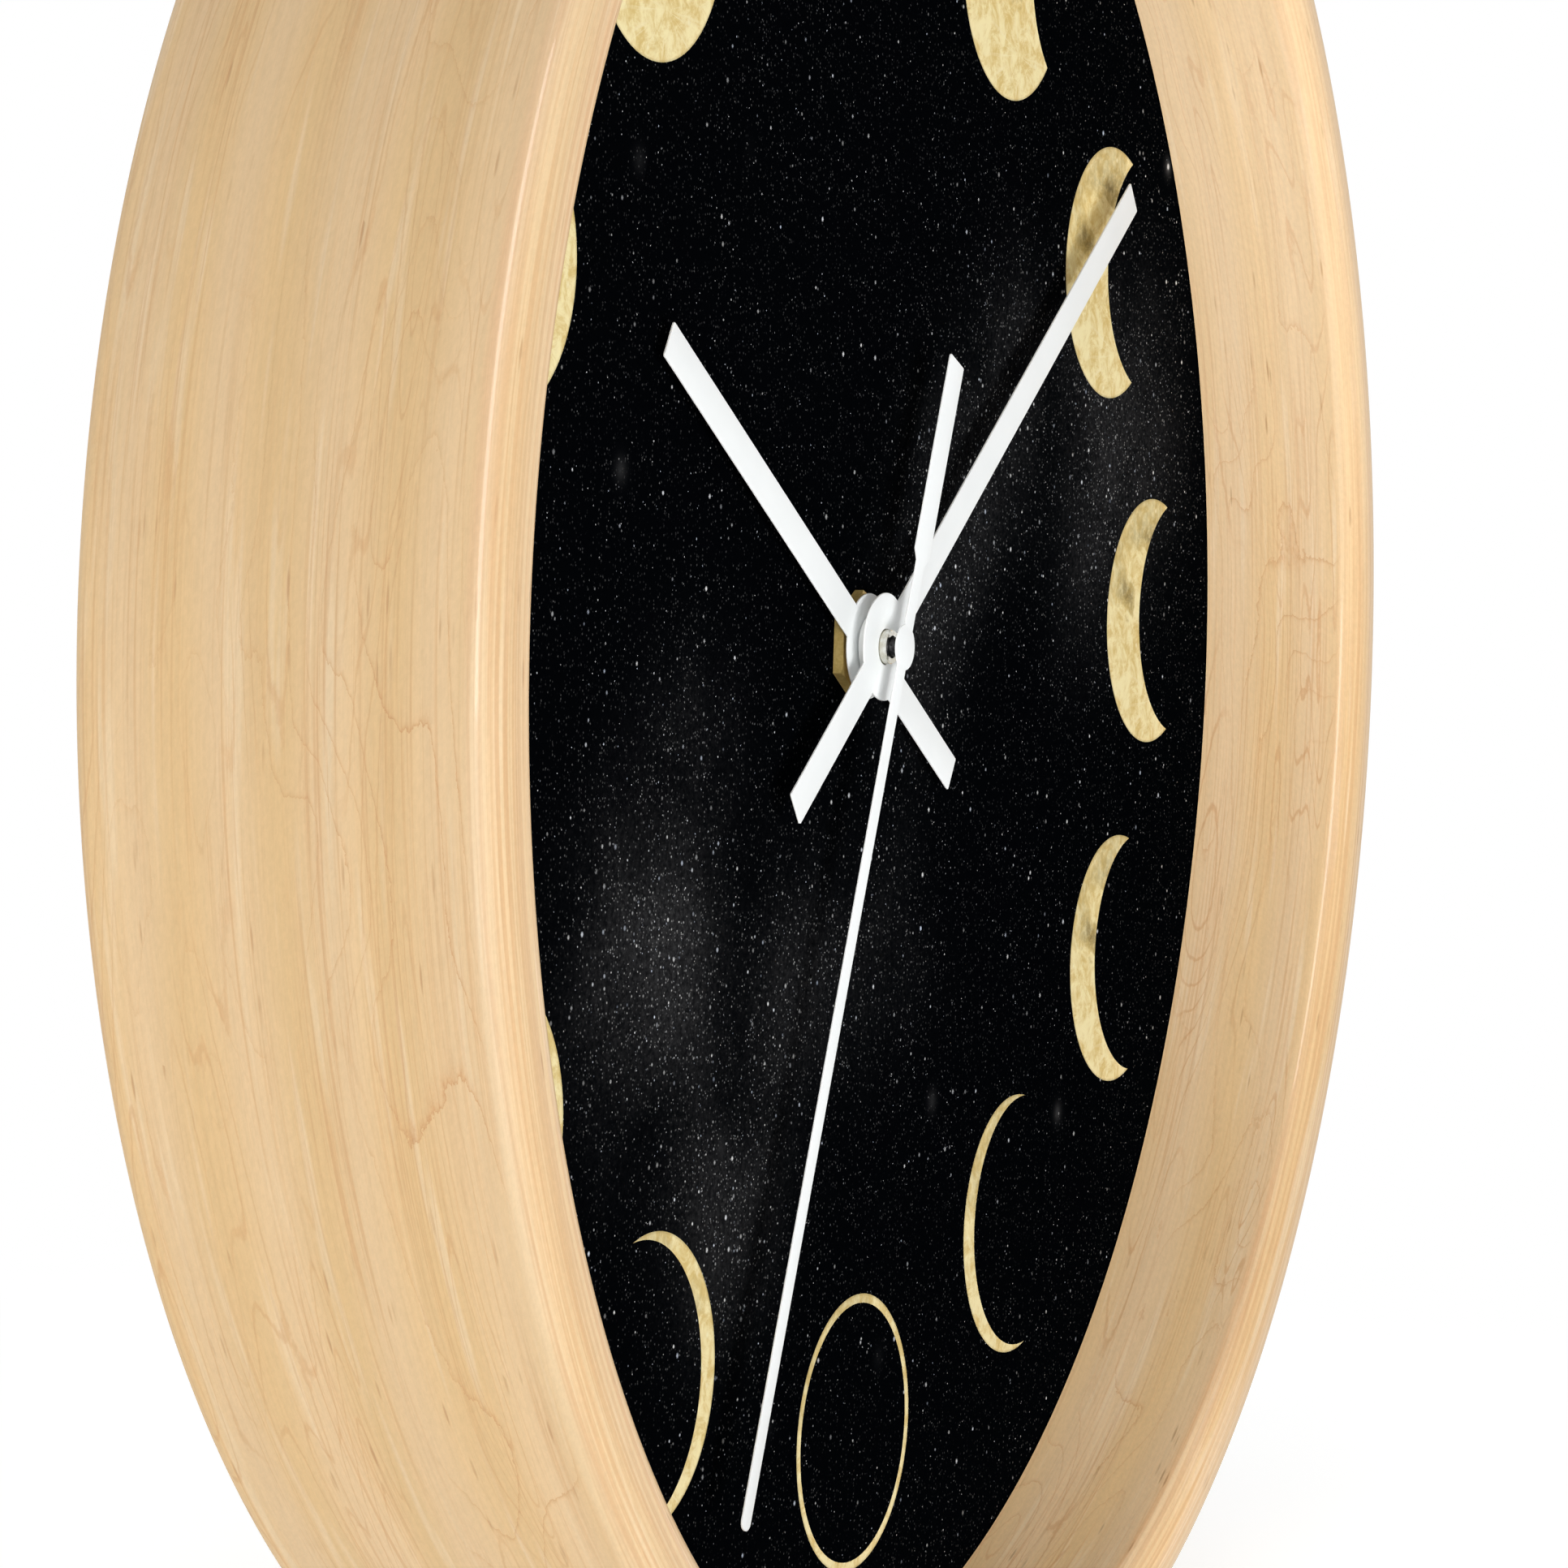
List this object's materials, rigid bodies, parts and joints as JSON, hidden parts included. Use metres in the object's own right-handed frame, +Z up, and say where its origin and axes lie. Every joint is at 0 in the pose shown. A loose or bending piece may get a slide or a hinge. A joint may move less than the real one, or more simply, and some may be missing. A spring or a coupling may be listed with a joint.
{
  "type": "wall clock",
  "caption": "Round open-faced quartz wall clock in a bent maple hoop, with a black printed moon phase dial, white hands and a battery movement that hangs on a nail.",
  "frame": {"origin": "The nail that the clock hangs on, on the face of the wall.", "axes": "+X right as seen from the front, +Y into the wall, so the dial faces -Y, +Z up."},
  "size_m": [0.254, 0.0442, 0.254],
  "materials": {
    "maple": "satin clear lacquer over pale figured maple",
    "dial_print": "matte print, black with fine pale stars and gold moons",
    "fibre_board": "raw fibre board",
    "block_wood": "sawn pine",
    "nut_brass": "turned brass",
    "washer_rubber": "matte rubber",
    "hanger_steel": "zinc plated sheet",
    "case_plastic": "fine moulded grain",
    "gear_plastic": "natural white acetal",
    "plate_plastic": "grey moulding",
    "motor_steel": "stamped lamination",
    "bobbin_plastic": "natural moulding",
    "coil_copper": "enamelled copper wire",
    "board_laminate": "phenolic laminate",
    "chip_epoxy": "potted epoxy drop",
    "crystal_can": "plated can",
    "cell_sleeve": "plain printed sleeve without words",
    "contact_nickel": "nickel plated spring strip",
    "tube_chrome": "polished",
    "arbor_steel": "ground pin",
    "rotor_magnet": "sintered magnet",
    "hand_white": "matte white paint",
    "second_tube_metal": "blackened tube"
  },
  "bodies": {
    "clock": {"wood_hoop": "maple", "dial_sheet": "dial_print", "dial_board": "fibre_board", "glue_block_1": "block_wood", "glue_block_2": "block_wood", "glue_block_3": "block_wood", "glue_block_4": "block_wood", "hex_nut": "nut_brass", "rubber_washer": "washer_rubber", "hanger_plate": "hanger_steel", "movement_front": "case_plastic", "movement_back": "case_plastic", "train_plate": "plate_plastic", "stator_plate": "motor_steel", "coil_core": "motor_steel", "coil_bobbin": "bobbin_plastic", "coil_winding": "coil_copper", "circuit_board": "board_laminate", "clock_chip": "chip_epoxy", "quartz_crystal": "crystal_can", "positive_contact": "contact_nickel", "negative_contact": "contact_nickel"},
    "minutes": {"minute_hand": "hand_white", "minute_tube": "tube_chrome", "centre_wheel": "gear_plastic"},
    "hours": {"hour_hand": "hand_white", "hour_wheel": "gear_plastic"},
    "seconds": {"second_hand": "hand_white", "second_hand_tube": "second_tube_metal", "seconds_arbor": "arbor_steel", "seconds_wheel": "gear_plastic"},
    "motion": {"motion_wheel": "gear_plastic"},
    "third": {"third_wheel": "gear_plastic"},
    "step": {"step_wheel": "gear_plastic"},
    "motor": {"rotor": "rotor_magnet"},
    "knob": {"setting_knob": "gear_plastic"},
    "battery": {"battery_cell": "cell_sleeve"}
  },
  "joints": [
    {"name": "minute_turn", "type": "hinge", "parent": "clock", "child": "minutes", "pos_m": [0, -0.0222, -0.0493], "axis": [0, 1, 0], "continuous": true},
    {"name": "hour_turn", "type": "hinge", "parent": "clock", "child": "hours", "pos_m": [0, -0.0222, -0.0493], "axis": [0, 1, 0], "continuous": true},
    {"name": "second_turn", "type": "hinge", "parent": "clock", "child": "seconds", "pos_m": [0, -0.0222, -0.0493], "axis": [0, 1, 0], "continuous": true},
    {"name": "motion_turn", "type": "hinge", "parent": "clock", "child": "motion", "pos_m": [-0.00636, -0.0222, -0.04294], "axis": [0, 1, 0], "continuous": true},
    {"name": "third_turn", "type": "hinge", "parent": "clock", "child": "third", "pos_m": [0.0102, -0.0222, -0.0493], "axis": [0, 1, 0], "continuous": true},
    {"name": "step_turn", "type": "hinge", "parent": "clock", "child": "step", "pos_m": [0.00493, -0.0222, -0.04003], "axis": [0, 1, 0], "continuous": true},
    {"name": "rotor_turn", "type": "hinge", "parent": "clock", "child": "motor", "pos_m": [0.01217, -0.0222, -0.03809], "axis": [0, 1, 0], "continuous": true},
    {"name": "knob_turn", "type": "hinge", "parent": "clock", "child": "knob", "pos_m": [-0.01273, -0.0222, -0.03657], "axis": [0, 1, 0], "continuous": true},
    {"name": "battery_slide", "type": "slide", "parent": "clock", "child": "battery", "axis": [0, 1, 0], "range_m": [0, 0.018]}
  ],
  "couplings": [
    {"joint": "hour_turn", "follows": "minute_turn", "ratio": 0.083333},
    {"joint": "second_turn", "follows": "minute_turn", "ratio": 60},
    {"joint": "motion_turn", "follows": "minute_turn", "ratio": -0.33333},
    {"joint": "third_turn", "follows": "minute_turn", "ratio": -8},
    {"joint": "step_turn", "follows": "minute_turn", "ratio": -360},
    {"joint": "rotor_turn", "follows": "minute_turn", "ratio": 1800},
    {"joint": "knob_turn", "follows": "minute_turn", "ratio": 1}
  ]
}
